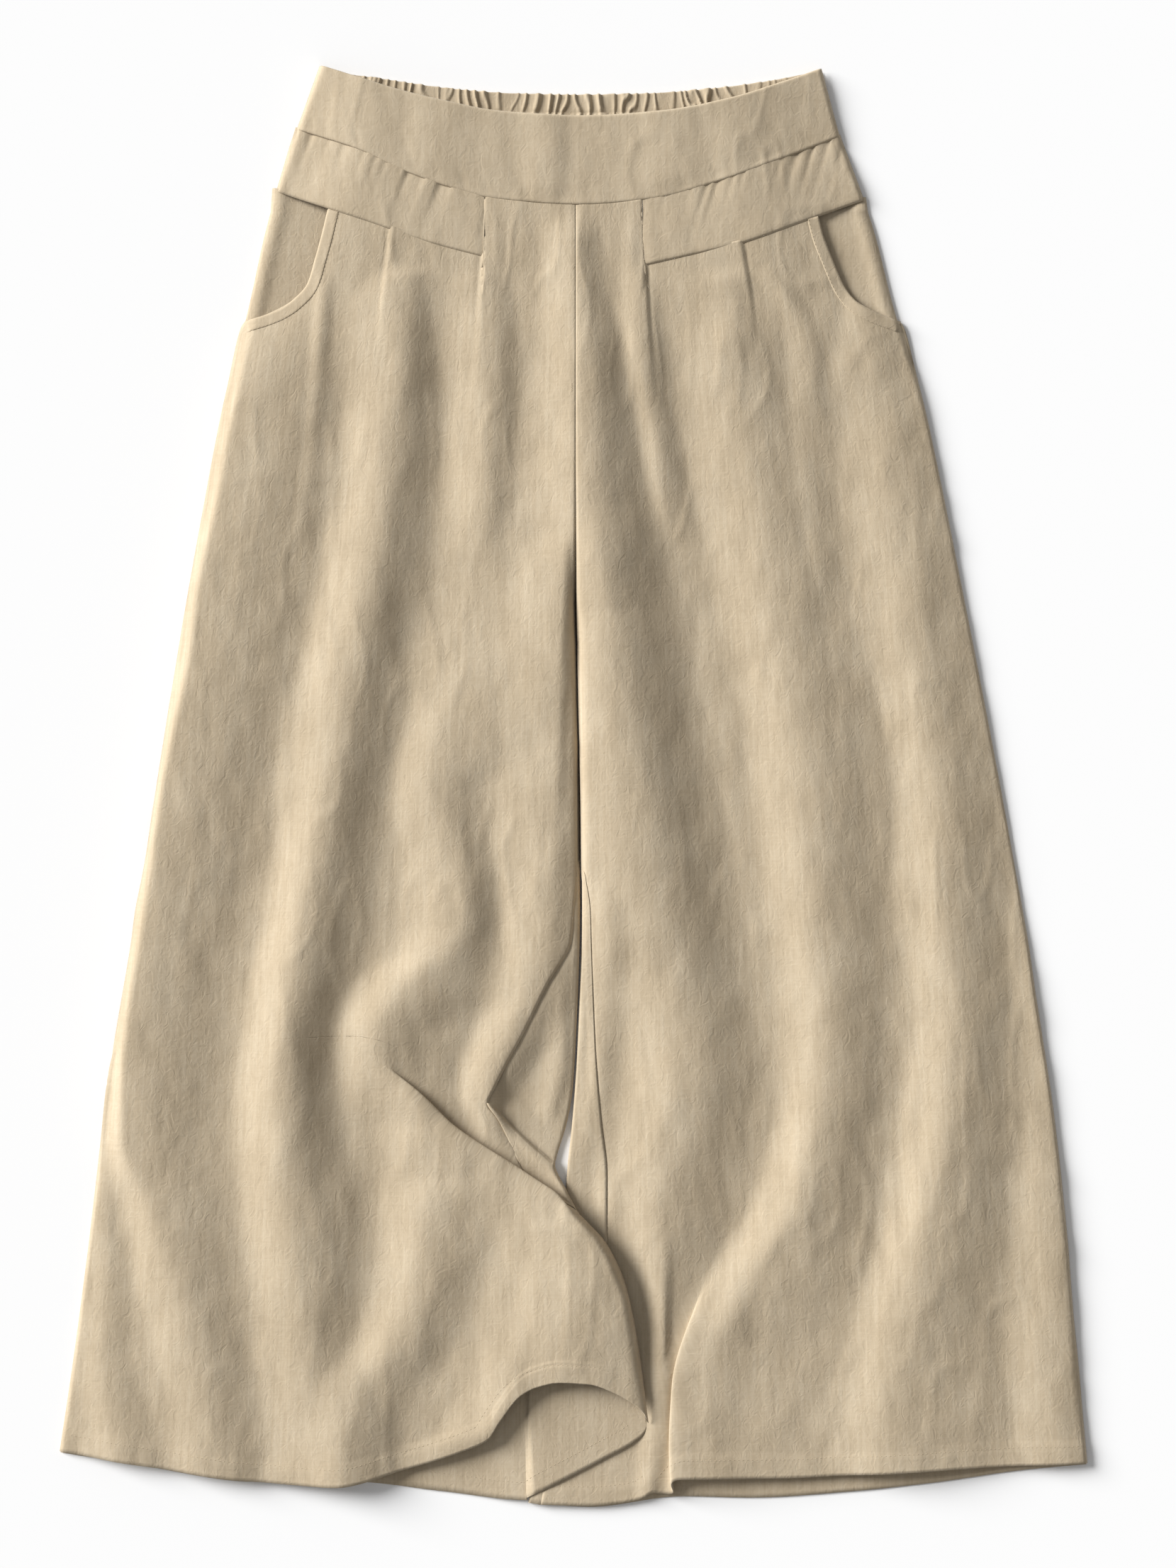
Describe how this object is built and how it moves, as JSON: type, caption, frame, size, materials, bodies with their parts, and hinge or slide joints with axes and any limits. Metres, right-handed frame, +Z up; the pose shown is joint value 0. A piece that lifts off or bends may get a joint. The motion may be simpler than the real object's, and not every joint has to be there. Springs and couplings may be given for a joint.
{
  "type": "palazzo pants",
  "caption": "Wide-leg linen trousers laid flat on their back, with a flat front waistband, a gathered back waistband, hip pockets and one turned hem corner.",
  "frame": {"origin": "the middle of the garment's outline, on the surface it lies on", "axes": "+Y towards the waist, +X towards the wearer's left leg, +Z up from the surface"},
  "size_m": [0.6951, 0.9743, 0.0208],
  "materials": {
    "linen": "washed plain-weave linen, matt, oatmeal beige",
    "thread": "matt sewing thread, the colour of the linen"
  },
  "bodies": {
    "root": {"back_right": "linen", "back_left": "linen", "waistband_back": "linen", "pocket_facing_right": "linen", "pocket_facing_left": "linen", "front_right": "linen", "front_left": "linen", "pocket_binding_right": "linen", "pocket_binding_left": "linen", "yoke_right": "linen", "yoke_left": "linen", "waistband_front": "linen"}
  },
  "joints": []
}
